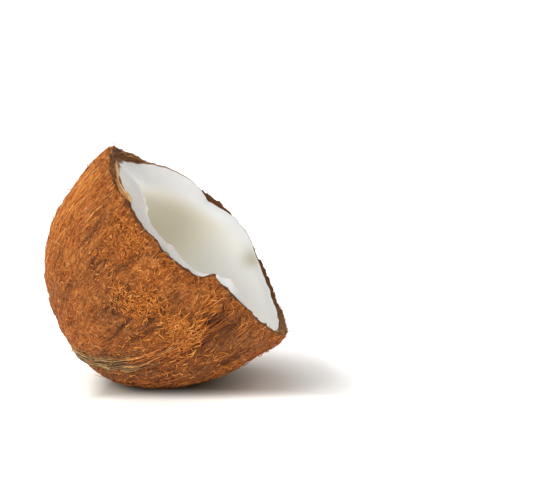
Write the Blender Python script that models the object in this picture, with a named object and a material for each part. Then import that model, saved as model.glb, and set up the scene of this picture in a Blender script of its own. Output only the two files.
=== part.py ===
"""One half of a mature coconut, opened across its width and lying on its rounded side.

Metres, +Z up. The origin is the centre of the small flat that the half rests on. The opening looks
up and towards +X. Both pieces are first worked out about the nut's own long axis, with the widest
ring at height 0, the closed end below it and the broken edge near it, and then tipped and set down.
"""
import math
import random

import bmesh
import bpy
import numpy as np

# Driving dimensions of the nut
RIM_RADIUS = 0.055
END_DEPTH = 0.0715
FULLNESS = 2.12
TIP_FROM_UPRIGHT = math.radians(45.0)
PRESSED_DEPTH = 0.0015
# Where the nut is fuller than a plain egg: direction and polar angle, their half widths, share of its size
BULGES = (
    (201, 53, 68, 33, 0.057), (300, 20, 37, 24, 0.028), (350, 30, 70, 26, 0.007),
    (343, 71, 58, 12, -0.013), (200, 97, 40, 10, -0.022),
)

# Layers, measured inwards from the outside
SHELL_THICKNESS = 0.0034
LAYER_GAP = 0.0003
HOLLOW_RADIUS = 0.0412
HOLLOW_DEPTH = 0.0575

# Fineness of the two meshes
MERIDIANS = 112
OUTSIDE_RINGS = 31
SHELL_EDGE_RINGS = 2
FLESH_FACE_RINGS = 4
HOLLOW_RINGS = 10
# Both sides of the joint between shell and flesh share these rings, so that their facets stay parallel
JOINT_RINGS = tuple(math.radians(a) for a in (10, 20, 31, 42, 52, 61, 70, 77.5, 84))

# Directions round the opening: 0 is its low side, 90 is +Y, 180 its high side and 270 is -Y.
# Each pair below is a direction in degrees and a length in millimetres.
SHELL_EDGE_HEIGHT = (
    (0, -3.0), (20, -5.6), (36, -6.3), (53, -4.9), (67, -2.9), (80, -1.0), (97, 0.0), (108, -1.4),
    (124, -3.6), (142, -5.5), (156, -5.0), (168, -3.6), (180, -1.8), (191, 0.2), (202, 1.8),
    (208, 1.8), (214, 1.6), (220, 0.9), (226, 1.1), (232, 1.8), (238, 1.9), (247, 1.5), (257, 1.9),
    (266, 1.9), (275, 2.8), (281, 4.1), (284.4, 5.6), (286.6, 9.3), (290, 8.5), (300, 7.6), (312, 5.7),
    (323, 3.2), (331, 1.6), (345, -0.8),
)
FLESH_EDGE_HEIGHT = (
    (0, -4.4), (20, -6.1), (36, -6.3), (53, -5.1), (64, -2.6), (76, 1.0), (87, 1.5), (97, -0.8),
    (104, -2.0), (111, 0.0), (120, 0.1), (132, -0.8), (143, -3.2), (153, -6.2), (165, -6.0),
    (178, -4.0), (190, -1.2), (203, 1.2), (214, 2.2), (230, 1.6), (247, 1.0), (266, 1.2), (280, 2.4),
    (286, 4.6), (290, 7.9), (300, 7.2), (312, 5.1), (323, 2.6), (335, -0.2), (347, -2.7),
)
FLESH_HOLLOW_HEIGHT = (
    (0, -5.8), (20, -7.9), (40, -8.1), (54, -6.6), (66, -4.0), (77, -0.8), (88, -0.8), (100, -2.8),
    (118, -4.2), (136, -6.0), (152, -6.8), (168, -5.2), (182, -2.8), (196, -0.4), (210, 1.2), (226, 2.0),
    (233, 1.9), (235, 0.3), (242, -0.6), (248, 0.0), (259, 0.5), (264, 1.9), (272, 1.2), (281, 1.5),
    (286, 2.2), (291, 6.1), (298, 8.2), (306, 7.2), (311, 5.1), (317, 3.5), (326, 1.1), (338, -2.2),
    (350, -4.7),
)
# How much nearer the shell the inner side of the flesh comes at its broken face, and how deep that reaches
FLESH_FLARE = (
    (0, 5.8), (30, 6.0), (52, 5.7), (66, 4.6), (78, 1.2), (90, -2.0), (102, -4.2), (118, -6.0),
    (150, -6.6), (180, -6.0), (205, -5.6), (218, -5.0), (228, -4.0), (241, -2.6), (250, -0.8), (262, 0.0),
    (285, 0.5), (292, 1.8), (306, 2.4), (316, 3.8), (326, 5.2), (340, 5.9),
)
FLARE_REACH = 0.017
# How sharp the flesh's broken edge at the hollow is: 1 crisp, near 0 worn round
FLESH_CRISPNESS = (
    (0, 0.1), (60, 0.1), (120, 0.1), (175, 0.15), (200, 0.6), (212, 1.0), (300, 1.0), (312, 0.8),
    (330, 0.2),
)
ROUNDING_WIDTH = 0.0030
ROUNDING_DROP = 0.0013
ROUNDING_REACH = 0.0045
# A shallow dent in the flesh beside the shell
DENT_DIRECTION = 64
DENT_HEIGHT = -0.0065
DENT_DEPTH = 0.0015

# The three low ridges of the nut, which bands of coarse fibre follow: the course of each from the closed
# end to the rim, as pairs of a polar angle and a direction in degrees
RIDGE_COURSES = (
    ((0, 262), (20, 267), (28, 274), (34, 282), (42, 290), (50, 294.5), (57, 297), (70, 300.5), (95, 307)),
    ((0, 60), (25, 64), (50, 60), (75, 57), (100, 61)),
    ((0, 170), (25, 166), (50, 171), (75, 173), (100, 168)),
)
RIDGE_HEIGHT = 0.0012
RIDGE_HALF_WIDTH = math.radians(3.2)
RIDGE_SIDE_GROOVE = 0.0007
# Creases between the strands: polar angle and direction of both ends in degrees, then depth and half
# width in mm
CREASES = (
    (50, 279, 77, 290, 0.9, 1.7), (62, 294, 86, 307, 1.1, 1.8), (71, 252, 90, 262, 0.8, 1.7),
    (68, 232, 88, 238, 0.8, 1.7), (40, 238, 66, 246, 0.7, 1.8), (58, 326, 88, 334, 0.9, 1.8),
    (40, 336, 64, 346, 0.8, 1.8), (48, 20, 80, 34, 0.9, 1.8), (60, 56, 86, 52, 0.8, 1.7),
    (40, 104, 76, 116, 0.9, 1.8), (58, 142, 86, 152, 0.9, 1.8), (36, 164, 62, 170, 0.8, 1.8),
)
LUMPS = 26
SEED = 11


def around(table, degrees):
    """A length in metres from one of the tables above, for a direction round the opening."""
    directions = [pair[0] for pair in table]
    lengths = [pair[1] for pair in table]
    return 0.001 * float(np.interp(degrees, directions, lengths, period=360.0))


def turn_between(a, b):
    """The signed turn from b to a, in degrees, from -180 to 180."""
    return (a - b + 180.0) % 360.0 - 180.0


def swelling(angle, polar):
    """How much further from the rim's centre the nut reaches here than a plain egg, as a factor."""
    factor = 1.0
    for direction, bulge_polar, direction_width, polar_width, share in BULGES:
        sideways = turn_between(math.degrees(angle), direction) * min(1.0, 1.3 * math.sin(polar))
        along = (math.degrees(polar) - bulge_polar) / polar_width
        factor += share * math.exp(-((sideways / direction_width) ** 2) - along**2)
    return factor


def egg(polar, radius, depth):
    """Radius and height on a full egg shape: polar 0 is the closed end, 90 degrees the widest ring."""
    power = 2.0 / FULLNESS
    height = -depth * math.copysign(abs(math.cos(polar)) ** power, math.cos(polar))
    return radius * math.sin(polar) ** power, height


def polar_at(height, depth):
    """The polar angle at which that egg shape reaches a height."""
    return math.acos(-math.copysign((abs(height) / depth) ** (FULLNESS / 2.0), height))


def outward(angle, ring_radius, height):
    """Direction straight out of the nut at a point of its wall."""
    across = ring_radius / RIM_RADIUS**2
    along = height / END_DEPTH**2
    size = math.hypot(across, along)
    return math.cos(angle) * across / size, math.sin(angle) * across / size, along / size


def make_lumps():
    """Places, sizes and heights of the low swellings of the fibre coat."""
    draw = random.Random(SEED)
    lumps = []
    for _ in range(LUMPS):
        direction = draw.uniform(0, 360)
        polar = math.acos(draw.uniform(-0.08, 0.98))
        lumps.append((direction, polar, draw.uniform(0.16, 0.34), draw.uniform(-0.8, 1.0) * 0.001))
    return lumps


def crease_depth(degrees, polar):
    """How far the nearest creases cut in at this point of the outside."""
    total = 0.0
    for start_polar, start, end_polar, end, depth, half_width in CREASES:
        share = (math.degrees(polar) - start_polar) / (end_polar - start_polar)
        if 0.0 < share < 1.0:
            middle = start + share * (end - start) + 1.2 * math.sin(7.0 * share)
            away = math.radians(turn_between(degrees, middle)) * math.sin(polar) * 55.0 / half_width
            total += 0.001 * depth * math.sin(math.pi * share) * math.exp(-away * away)
    return total


def fibre_relief(angle, polar, lumps):
    """Height of the fibre coat over the smooth egg: ridges, strands from end to end, lumps and creases."""
    degrees = math.degrees(angle) % 360.0
    off_end = min(1.0, math.sin(polar) / 0.65)
    total = 0.0
    for course in RIDGE_COURSES:
        middle = np.interp(math.degrees(polar), *zip(*course))
        away = math.radians(turn_between(degrees, middle)) * math.sin(polar) / RIDGE_HALF_WIDTH
        fall = 1.3 - 0.9 * math.sin(polar)
        total += RIDGE_HEIGHT * math.exp(-away * away) * off_end * fall
        total -= RIDGE_SIDE_GROOVE * math.exp(-((abs(away) - 1.5) ** 2) * 4.0) * off_end * fall
    drift = 0.16 * math.sin(3.1 * polar + 2.0 * angle) + 0.05 * math.sin(9.0 * polar + angle)
    total += 0.00036 * math.sin(23.0 * (angle + drift)) * off_end
    patch = math.sin(5.0 * polar + 3.0 * angle)
    total += 0.00024 * math.sin(34.0 * (angle - drift) + 1.3) * off_end * patch
    for direction, lump_polar, width, height in lumps:
        sideways = math.radians(turn_between(degrees, direction)) * math.sin(polar)
        away = (sideways**2 + (polar - lump_polar) ** 2) / width**2
        total += height * math.exp(-away)
    return total - crease_depth(degrees, polar)


def set_down(point, drop):
    """Tips a point of the upright nut towards +X, lowers it and presses what is under the surface flat."""
    x, y, z = point
    sine, cosine = math.sin(TIP_FROM_UPRIGHT), math.cos(TIP_FROM_UPRIGHT)
    return cosine * x + sine * z - drop[0], y, max(0.0, cosine * z - sine * x - drop[1])


def resting_place():
    """Where the tipped egg would touch the surface: its X there, and how far below the rim's centre."""
    sine, cosine = math.sin(TIP_FROM_UPRIGHT), math.cos(TIP_FROM_UPRIGHT)
    lowest = (0.0, math.inf)
    for step in range(2000):
        radius, _, height = on_wall(0.0, math.pi / 2 * step / 2000, 0.0)
        x, z = cosine * radius + sine * height, cosine * height - sine * radius
        if z < lowest[1]:
            lowest = (x, z)
    return lowest[0], lowest[1] + PRESSED_DEPTH


def joint_polars(edge_polar):
    """Rings of the joint between the layers: the shared ones, one between and the edge itself."""
    return [0.0, *JOINT_RINGS, (JOINT_RINGS[-1] + edge_polar) / 2, edge_polar]


class RingedBody:
    """A closed body made from one sphere: its rings become the outside, the broken edge and the inside."""

    def __init__(self, name, rings, meridian, drop):
        self.mesh = bpy.data.meshes.new(name)
        body = bmesh.new()
        bmesh.ops.create_uvsphere(body, u_segments=MERIDIANS, v_segments=rings, radius=1.0)
        columns = {}
        for vertex in body.verts:
            ring = round(rings * math.acos(max(-1.0, min(1.0, -vertex.co.z))) / math.pi)
            turn = round(MERIDIANS * math.atan2(vertex.co.y, vertex.co.x) / (2 * math.pi)) % MERIDIANS
            if ring in (0, rings):
                turn = 0
            if turn not in columns:
                columns[turn] = meridian(2 * math.pi * turn / MERIDIANS)
            vertex.co = set_down(columns[turn][ring], drop)
        bmesh.ops.recalc_face_normals(body, faces=body.faces[:])
        body.to_mesh(self.mesh)
        body.free()
        self.thing = bpy.data.objects.new(name, self.mesh)


def on_wall(angle, polar, inset):
    """A point of a layer that follows the nut's own shape at a depth under it."""
    radius, height = egg(polar, RIM_RADIUS - inset, END_DEPTH - inset)
    radius *= swelling(angle, polar)
    height *= swelling(angle, polar)
    return math.cos(angle) * radius, math.sin(angle) * radius, height


def shell_meridian(lumps, ragged):
    """A function for one meridian of the shell: up its outside from the closed end, then back inside."""

    def meridian(angle):
        degrees = math.degrees(angle)
        rough = ragged[round(MERIDIANS * angle / (2 * math.pi)) % MERIDIANS]
        edge_height = around(SHELL_EDGE_HEIGHT, degrees) + 0.0004 * rough
        edge_polar = polar_at(edge_height, END_DEPTH)
        points = []
        for step in range(OUTSIDE_RINGS + 1):
            polar = edge_polar * step / OUTSIDE_RINGS
            x, y, z = on_wall(angle, polar, 0.0)
            out = outward(angle, math.hypot(x, y), z)
            lift = fibre_relief(angle, polar, lumps) if step else fibre_relief(0.0, 0.0, lumps)
            points.append((x + lift * out[0], y + lift * out[1], z + lift * out[2]))
        inner_height = edge_height - 0.0003 * (1.0 + rough)
        inner = joint_polars(polar_at(inner_height, END_DEPTH - SHELL_THICKNESS))
        inside = [on_wall(angle, polar, SHELL_THICKNESS) for polar in reversed(inner)]
        outer_corner = np.array(points[-1])
        inner_corner = np.array(inside[0])
        for step in range(1, SHELL_EDGE_RINGS):
            share = step / SHELL_EDGE_RINGS
            middle = outer_corner * (1 - share) + inner_corner * share
            middle[2] += 0.0005 * ragged[(round(degrees) + 40 * step) % MERIDIANS] + 0.0003
            points.append(tuple(middle))
        return points + inside

    return meridian


def crispness(degrees):
    return 1000.0 * around(FLESH_CRISPNESS, degrees)


def hollow_point(angle, share, edge_height):
    """A point of the hollow's wall: share 0 is its deepest point and 1 the edge of the flesh."""
    degrees = math.degrees(angle)
    edge_polar = polar_at(edge_height, HOLLOW_DEPTH)
    radius, height = egg(edge_polar * share, HOLLOW_RADIUS, HOLLOW_DEPTH)
    flare = around(FLESH_FLARE, degrees) * math.exp((height - edge_height) / FLARE_REACH)
    worn = ROUNDING_WIDTH * (1.0 - crispness(degrees))
    radius += (flare + worn * math.exp((height - edge_height) / ROUNDING_REACH)) * share
    dent = math.radians(turn_between(degrees, DENT_DIRECTION)) * 48.0
    radius += DENT_DEPTH * math.exp(-((dent / 4.5) ** 2) - ((height - DENT_HEIGHT) / 0.0045) ** 2)
    return math.cos(angle) * radius, math.sin(angle) * radius, height


def flesh_meridian(ragged):
    """A function for one meridian of the flesh: along the shell, over the broken face, down the hollow."""
    inset = SHELL_THICKNESS + LAYER_GAP

    def meridian(angle):
        degrees = math.degrees(angle)
        place = round(MERIDIANS * angle / (2 * math.pi)) % MERIDIANS
        outer_height = around(FLESH_EDGE_HEIGHT, degrees) + 0.0003 * ragged[place]
        outer_polar = polar_at(outer_height, END_DEPTH - inset)
        points = [on_wall(angle, polar, inset) for polar in joint_polars(outer_polar)]
        crisp = crispness(degrees)
        drop = ROUNDING_DROP * (1.0 - crisp)
        inner_height = around(FLESH_HOLLOW_HEIGHT, degrees) + crisp * 0.0006 * ragged[place - 7] - drop
        shares = [1 - step / HOLLOW_RINGS for step in range(HOLLOW_RINGS + 1)]
        hollow = [hollow_point(angle, share, inner_height) for share in shares]
        outer_corner = np.array(points[-1])
        inner_corner = np.array(hollow[0])
        for step in range(1, FLESH_FACE_RINGS):
            share = step / FLESH_FACE_RINGS
            middle = outer_corner * (1 - share) + inner_corner * share
            middle[2] += crisp * 0.0006 * math.sin(math.pi * share)
            middle[2] += crisp * 0.0003 * ragged[(place * 3 + 17 * step) % MERIDIANS]
            points.append(tuple(middle))
        return points + hollow

    return meridian


def plain_material(name, colour, roughness):
    material = bpy.data.materials.new(name)
    material.use_nodes = True
    surface = material.node_tree.nodes["Principled BSDF"]
    surface.inputs["Base Color"].default_value = (*colour, 1.0)
    surface.inputs["Roughness"].default_value = roughness
    surface.inputs["Metallic"].default_value = 0.0
    return material


def main():
    for thing in list(bpy.data.objects):
        bpy.data.objects.remove(thing, do_unlink=True)
    parts = bpy.data.collections.new("coconut half")
    bpy.context.scene.collection.children.link(parts)

    draw = random.Random(SEED)
    ragged = [draw.uniform(-1.0, 1.0) for _ in range(MERIDIANS)]
    drop = resting_place()
    joint_steps = len(joint_polars(math.pi / 2)) - 1

    shell_rings = OUTSIDE_RINGS + SHELL_EDGE_RINGS + joint_steps
    shell = RingedBody("coconut_shell", shell_rings, shell_meridian(make_lumps(), ragged), drop)
    shell.mesh.materials.append(plain_material("husk_fibre", (0.30, 0.13, 0.045), 0.9))
    parts.objects.link(shell.thing)

    flesh_rings = joint_steps + FLESH_FACE_RINGS + HOLLOW_RINGS
    flesh = RingedBody("coconut_flesh", flesh_rings, flesh_meridian(ragged), drop)
    flesh.mesh.materials.append(plain_material("coconut_flesh", (0.86, 0.85, 0.78), 0.5))
    parts.objects.link(flesh.thing)


main()
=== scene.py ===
"""Looks of the coconut half: its matted fibre coat, broken shell edge and white flesh, on a pale floor.

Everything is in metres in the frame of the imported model: +Z up, the origin at the centre of the flat
that the half rests on, the opening turned up and towards +X. Shapes are first worked out about the
nut's own long axis, with the widest ring at height 0 and the closed end below it. A place on the
outside has two measures: its direction round the axis (0 low side, 90 far side, 180 high side,
270 near side) and its polar angle (0 at the closed end, 90 degrees at the widest ring).
"""
import math
import random

import bpy
import numpy as np
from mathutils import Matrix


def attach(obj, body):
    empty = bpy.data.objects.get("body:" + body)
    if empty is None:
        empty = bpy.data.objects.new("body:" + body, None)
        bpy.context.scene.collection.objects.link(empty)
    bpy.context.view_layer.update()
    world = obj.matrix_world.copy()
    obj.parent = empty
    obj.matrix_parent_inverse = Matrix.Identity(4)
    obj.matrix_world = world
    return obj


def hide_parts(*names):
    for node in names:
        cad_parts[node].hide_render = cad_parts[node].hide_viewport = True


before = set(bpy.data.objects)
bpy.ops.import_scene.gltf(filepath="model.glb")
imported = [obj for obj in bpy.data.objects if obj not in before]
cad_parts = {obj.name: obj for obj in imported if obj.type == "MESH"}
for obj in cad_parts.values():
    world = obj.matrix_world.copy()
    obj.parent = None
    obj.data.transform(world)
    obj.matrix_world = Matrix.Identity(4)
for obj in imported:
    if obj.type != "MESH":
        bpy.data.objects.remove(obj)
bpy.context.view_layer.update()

# Driving dimensions of the nut, as in the solids
RIM_RADIUS = 0.055
END_DEPTH = 0.0715
FULLNESS = 2.12
TIP_FROM_UPRIGHT = math.radians(45.0)
PRESSED_DEPTH = 0.0015
BULGES = (
    (201, 53, 68, 33, 0.057), (300, 20, 37, 24, 0.028), (350, 30, 70, 26, 0.007),
    (343, 71, 58, 12, -0.013), (200, 97, 40, 10, -0.022),
)
SHELL_THICKNESS = 0.0034
LAYER_GAP = 0.0003
HOLLOW_RADIUS = 0.0412
HOLLOW_DEPTH = 0.0575
SOLID_MERIDIANS = 112

# Broken edges of the solids: pairs of a direction in degrees and a length in millimetres
SHELL_EDGE_HEIGHT = (
    (0, -3.0), (20, -5.6), (36, -6.3), (53, -4.9), (67, -2.9), (80, -1.0), (97, 0.0), (108, -1.4),
    (124, -3.6), (142, -5.5), (156, -5.0), (168, -3.6), (180, -1.8), (191, 0.2), (202, 1.8),
    (208, 1.8), (214, 1.6), (220, 0.9), (226, 1.1), (232, 1.8), (238, 1.9), (247, 1.5), (257, 1.9),
    (266, 1.9), (275, 2.8), (281, 4.1), (284.4, 5.6), (286.6, 9.3), (290, 8.5), (300, 7.6), (312, 5.7),
    (323, 3.2), (331, 1.6), (345, -0.8),
)
FLESH_EDGE_HEIGHT = (
    (0, -4.4), (20, -6.1), (36, -6.3), (53, -5.1), (64, -2.6), (76, 1.0), (87, 1.5), (97, -0.8),
    (104, -2.0), (111, 0.0), (120, 0.1), (132, -0.8), (143, -3.2), (153, -6.2), (165, -6.0),
    (178, -4.0), (190, -1.2), (203, 1.2), (214, 2.2), (230, 1.6), (247, 1.0), (266, 1.2), (280, 2.4),
    (286, 4.6), (290, 7.9), (300, 7.2), (312, 5.1), (323, 2.6), (335, -0.2), (347, -2.7),
)
FLESH_HOLLOW_HEIGHT = (
    (0, -5.8), (20, -7.9), (40, -8.1), (54, -6.6), (66, -4.0), (77, -0.8), (88, -0.8), (100, -2.8),
    (118, -4.2), (136, -6.0), (152, -6.8), (168, -5.2), (182, -2.8), (196, -0.4), (210, 1.2), (226, 2.0),
    (233, 1.9), (235, 0.3), (242, -0.6), (248, 0.0), (259, 0.5), (264, 1.9), (272, 1.2), (281, 1.5),
    (286, 2.2), (291, 6.1), (298, 8.2), (306, 7.2), (311, 5.1), (317, 3.5), (326, 1.1), (338, -2.2),
    (350, -4.7),
)
FLESH_FLARE = (
    (0, 5.8), (30, 6.0), (52, 5.7), (66, 4.6), (78, 1.2), (90, -2.0), (102, -4.2), (118, -6.0),
    (150, -6.6), (180, -6.0), (205, -5.6), (218, -5.0), (228, -4.0), (241, -2.6), (250, -0.8), (262, 0.0),
    (285, 0.5), (292, 1.8), (306, 2.4), (316, 3.8), (326, 5.2), (340, 5.9),
)
FLARE_REACH = 0.017
DENT_DIRECTION = 64
DENT_HEIGHT = -0.0065
DENT_DEPTH = 0.0015
# How sharp the flesh's broken edge at the hollow is: 1 crisp, near 0 worn round
FLESH_CRISPNESS = (
    (0, 0.1), (60, 0.1), (120, 0.1), (175, 0.15), (200, 0.6), (212, 1.0), (300, 1.0), (312, 0.8),
    (330, 0.2),
)
ROUNDING_WIDTH = 0.0030
ROUNDING_DROP = 0.0013
ROUNDING_REACH = 0.0045

# Relief of the fibre coat, as in the solids: courses of the ridges as pairs of a polar angle and a
# direction, and creases with the polar angle and direction of both ends, their depth and half width in mm
RIDGE_COURSES = (
    ((0, 262), (20, 267), (28, 274), (34, 282), (42, 290), (50, 294.5), (57, 297), (70, 300.5), (95, 307)),
    ((0, 60), (25, 64), (50, 60), (75, 57), (100, 61)),
    ((0, 170), (25, 166), (50, 171), (75, 173), (100, 168)),
)
RIDGE_HEIGHT = 0.0012
RIDGE_HALF_WIDTH = math.radians(3.2)
RIDGE_SIDE_GROOVE = 0.0007
CREASES = (
    (50, 279, 77, 290, 0.9, 1.7), (62, 294, 86, 307, 1.1, 1.8), (71, 252, 90, 262, 0.8, 1.7),
    (68, 232, 88, 238, 0.8, 1.7), (40, 238, 66, 246, 0.7, 1.8), (58, 326, 88, 334, 0.9, 1.8),
    (40, 336, 64, 346, 0.8, 1.8), (48, 20, 80, 34, 0.9, 1.8), (60, 56, 86, 52, 0.8, 1.7),
    (40, 104, 76, 116, 0.9, 1.8), (58, 142, 86, 152, 0.9, 1.8), (36, 164, 62, 170, 0.8, 1.8),
)
LUMPS = 26
SEED = 11

# A millimetre in metres. Then the scales of the coat's patterns: millimetres to a radian round the nut
# and up it, and the polar angle in radians at which a pattern's second coordinate is 1
MM = 0.001
MM_AROUND = 55.0
MM_UP = 66.0
PATTERN_REACH = 1.75

# Heights of the fine unevenness in metres: on the coat, on the shell's broken edge, along the flesh's
# outer edge, in the hollow and on the flesh's broken face
COAT_STRANDS, COAT_CROSS_STRANDS = 0.00036, 0.00024
MATTING_STRANDS, MATTING_THIN_STRANDS, MATTING_KNOTS = 0.00010, 0.00010, 0.00015
BAND_GROOVES = 0.0004
EDGE_RAGGEDNESS, EDGE_CHIPS, EDGE_SPLITS = 0.0004, 0.00022, 0.00012
EDGE_CROWN, EDGE_GRAIN, EDGE_STEPS = 0.0005, 0.00035, 0.0003
FLESH_RAGGEDNESS, FLESH_NICKS = 0.0003, 0.00012
HOLLOW_RAGGEDNESS, HOLLOW_CHIPS, HOLLOW_FINE_CHIPS, HOLLOW_WAVES = 0.0004, 0.0006, 0.0003, 0.00025
FACE_CROWN, FACE_CRISP_CROWN, FACE_GRAIN, FACE_FACETS = 0.0008, 0.0006, 0.00014, 0.00045
# Strands whose lowest point would be under this height lie under the half, and are left out
STRAND_CLEARANCE = 0.0006

# Tufts of loose fibre on the side that the photo shows: direction and polar angle, spread in mm, half
# the number of strands, their length in mm, then how far they point askew and bend, in radians
TUFTS = (
    (269, 86, 2.4, 24, 3.2, 1.1, 2.2), (267, 71, 3.6, 60, 2.8, 1.0, 2.0), (273, 73.5, 4, 90, 2.8, 0.9, 2),
    (278, 77, 3.2, 50, 2.8, 0.9, 1.8), (289, 75.5, 3, 50, 3.2, 0.8, 1.6), (294, 77, 3.4, 60, 4, 0.4, 1),
    (300, 73, 3.6, 60, 4, 0.35, 0.9), (294, 86, 2.2, 9, 5.5, 0.08, 0.25), (298, 80, 2.4, 14, 6, 0.08, 0.3),
    (295, 89.5, 2.6, 7, 4.5, 0.12, 0.3), (302, 89, 3, 6, 4, 0.15, 0.4), (317, 86, 2.5, 4, 5, 0.12, 0.3),
    (243, 86.5, 3.6, 80, 1.8, 1.6, 4.2), (251, 87.5, 3.8, 90, 1.8, 1.6, 4.2), (245, 79, 6, 40, 1.6, 1.6, 4),
    (212, 80, 7, 24, 7, 0.08, 0.25), (214, 68, 7, 16, 6, 0.1, 0.3), (308, 66, 5, 20, 4, 0.4, 1),
    (322, 76, 6, 16, 3.5, 0.5, 1), (284, 63, 4, 12, 3.5, 0.5, 1.2), (312, 52, 6, 14, 4, 0.5, 1.2),
)

# The golden splinter on the high side's shell edge: pairs of a direction and its half width in mm
GOLDEN_SPLINTER = (
    (200, 0.2), (204, 0.7), (209, 1.0), (213, 0.8), (218, 1.0), (222, 1.6), (226, 2.5), (230, 2.7),
    (233, 1.7), (236, 0.3),
)

# Places where the coat is dark: direction and polar angle, width in mm, strength
DARK_PLACES = (
    (302, 85, 6, 1.3), (254, 78, 4, 0.25), (243, 70, 5, 0.15), (283, 84, 5, 0.4), (318, 68, 8, 0.45),
    (273, 74, 5, 0.35), (296, 76, 5.5, 0.4), (248, 87, 5, 0.3), (262, 80, 3, 0.3), (310, 78, 6, 0.4),
    (330, 58, 9, 0.4), (262, 58, 6, 0.4), (20, 70, 8, 0.6), (110, 75, 7, 0.5), (150, 60, 8, 0.5),
    (308, 46, 16, 0.5), (262, 48, 12, 0.2), (314, 90, 8, 0.45), (276, 70, 12, 0.4), (306, 72, 14, 0.35),
    (80, 45, 8, 0.5), (185, 82, 5, 0.4), (40, 88, 5, 0.7), (285, 42, 7, 0.3), (225, 60, 6, 0.15),
)
# Parts of the broken shell edge that are pale wood: direction, width in degrees, share
PALE_WOOD = ((196, 26, 0.25), (158, 16, 0.35), (358, 26, 0.55))
# Facets of the flesh's broken face with painted shade, greyer: direction, width in degrees, power of the
# bell, share
PAINTED_SHADE_FACETS = ((243, 44, 4, 1.0), (313, 13, 6, 0.9), (160, 35, 4, 0.5))

# Fineness of the two surfaces, and the passes that wear the flesh's edge round
COAT_MERIDIANS = 600
COAT_RINGS = 138
EDGE_RINGS = 8
COAT_INSIDE_DEGREES = (88, 82, 70, 52, 30, 10)
FLESH_MERIDIANS = 600
FLESH_OUTSIDE_DEGREES = (12, 30, 48, 64, 76, 84)
FACE_RINGS = 30
HOLLOW_RINGS = 72
WORN_HOLLOW_RINGS = 34
WEARING_PASSES = 90
# Width of a strand's strip in the UV map, where u picks its tone
TONE_WIDTH = 0.012

# Picture: where the camera stands, seen from the rim's centre
CAMERA_TURN = math.radians(11.6)
CAMERA_RISE = math.radians(12.0)
CAMERA_LENS = 100.0
CAMERA_DISTANCE = 0.6465
AIM_RIGHT = 0.02912
AIM_UP = -0.003157
KEY_LIGHT_PLACE = (-0.6, -0.85, 0.8)
KEY_LIGHT_AIM = (0.0, 0.0, 0.05)
KEY_LIGHT_SIZE = 0.45
KEY_LIGHT_POWER = 9.5
ROOM_LIGHT = 0.72
FLOOR_REACH = 6.0


def between(table, degrees):
    """Straight lines between the pairs of a table, round the whole turn. The result is in metres."""
    directions = [pair[0] for pair in table]
    lengths = [pair[1] for pair in table]
    return MM * np.interp(np.mod(degrees, 360.0), directions, lengths, period=360.0)


def turn_between(a, b):
    """The signed turn from b to a, in degrees, from -180 to 180."""
    return (a - b + 180.0) % 360.0 - 180.0


def bell(degrees, middle, width, power=2):
    """A bell over directions: e to the minus that power of the turn from the middle over the width."""
    return np.exp(-((turn_between(degrees, middle) / width) ** power))


def egg(polar, radius, depth):
    """A full egg: radius times a power of the sine, and depth times the same power of the cosine."""
    power = 2.0 / FULLNESS
    cosine = np.cos(polar)
    height = -depth * np.sign(cosine) * np.abs(cosine) ** power
    return radius * np.abs(np.sin(polar)) ** power, height


def polar_at(height, depth):
    """The polar angle at which that egg reaches a height."""
    return np.arccos(-np.sign(height) * (np.abs(height) / depth) ** (FULLNESS / 2.0))


def swelling(angle, polar):
    """One, plus a bell-shaped share for each side where the nut is fuller than a plain egg."""
    factor = np.ones(np.broadcast(angle, polar).shape)
    for direction, bulge_polar, direction_width, polar_width, share in BULGES:
        sideways = turn_between(np.degrees(angle), direction) * np.minimum(1.0, 1.3 * np.sin(polar))
        along = (np.degrees(polar) - bulge_polar) / polar_width
        factor += share * np.exp(-((sideways / direction_width) ** 2) - along**2)
    return factor


def wall(angle, polar, inset=0.0):
    """Points on a layer of the nut: the egg, less the inset, times the swelling."""
    radius, height = egg(polar, RIM_RADIUS - inset, END_DEPTH - inset)
    factor = swelling(angle, polar)
    radius = radius * factor
    return np.stack([np.cos(angle) * radius, np.sin(angle) * radius, height * factor], axis=-1)


def outward(points):
    """Unit vectors straight out of the egg at points of its wall: the gradient of its ellipsoid."""
    pull = points / np.array([RIM_RADIUS**2, RIM_RADIUS**2, END_DEPTH**2])
    return pull / np.linalg.norm(pull, axis=-1, keepdims=True)


def resting_place():
    """Where the tipped egg would touch the surface: its X there, and how far below the rim's centre."""
    polar = math.pi / 2 * np.arange(2000) / 2000
    points = wall(np.zeros(2000), polar)
    sine, cosine = math.sin(TIP_FROM_UPRIGHT), math.cos(TIP_FROM_UPRIGHT)
    across = cosine * points[:, 0] + sine * points[:, 2]
    up = cosine * points[:, 2] - sine * points[:, 0]
    lowest = int(np.argmin(up))
    return across[lowest], up[lowest] + PRESSED_DEPTH


DROP = resting_place()


def set_down(points, pressed=True):
    """Tips points of the upright nut towards +X, lowers them, and presses what is under the floor flat."""
    sine, cosine = math.sin(TIP_FROM_UPRIGHT), math.cos(TIP_FROM_UPRIGHT)
    x, y, z = points[..., 0], points[..., 1], points[..., 2]
    up = cosine * z - sine * x - DROP[1]
    if pressed:
        up = np.maximum(up, 0.0)
    return np.stack([cosine * x + sine * z - DROP[0], y, up], axis=-1)


def random_heights():
    """The edge's unevenness, one draw for each meridian of the solids, in the solids' own order."""
    draw = random.Random(SEED)
    return np.array([draw.uniform(-1.0, 1.0) for _ in range(SOLID_MERIDIANS)])


RAGGED = random_heights()


def ragged(angle, shift=0):
    """That unevenness for any direction, in straight lines from meridian to meridian."""
    places = np.arange(SOLID_MERIDIANS)
    return np.interp(angle / (2 * math.pi) * SOLID_MERIDIANS + shift, places, RAGGED, period=SOLID_MERIDIANS)


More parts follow.
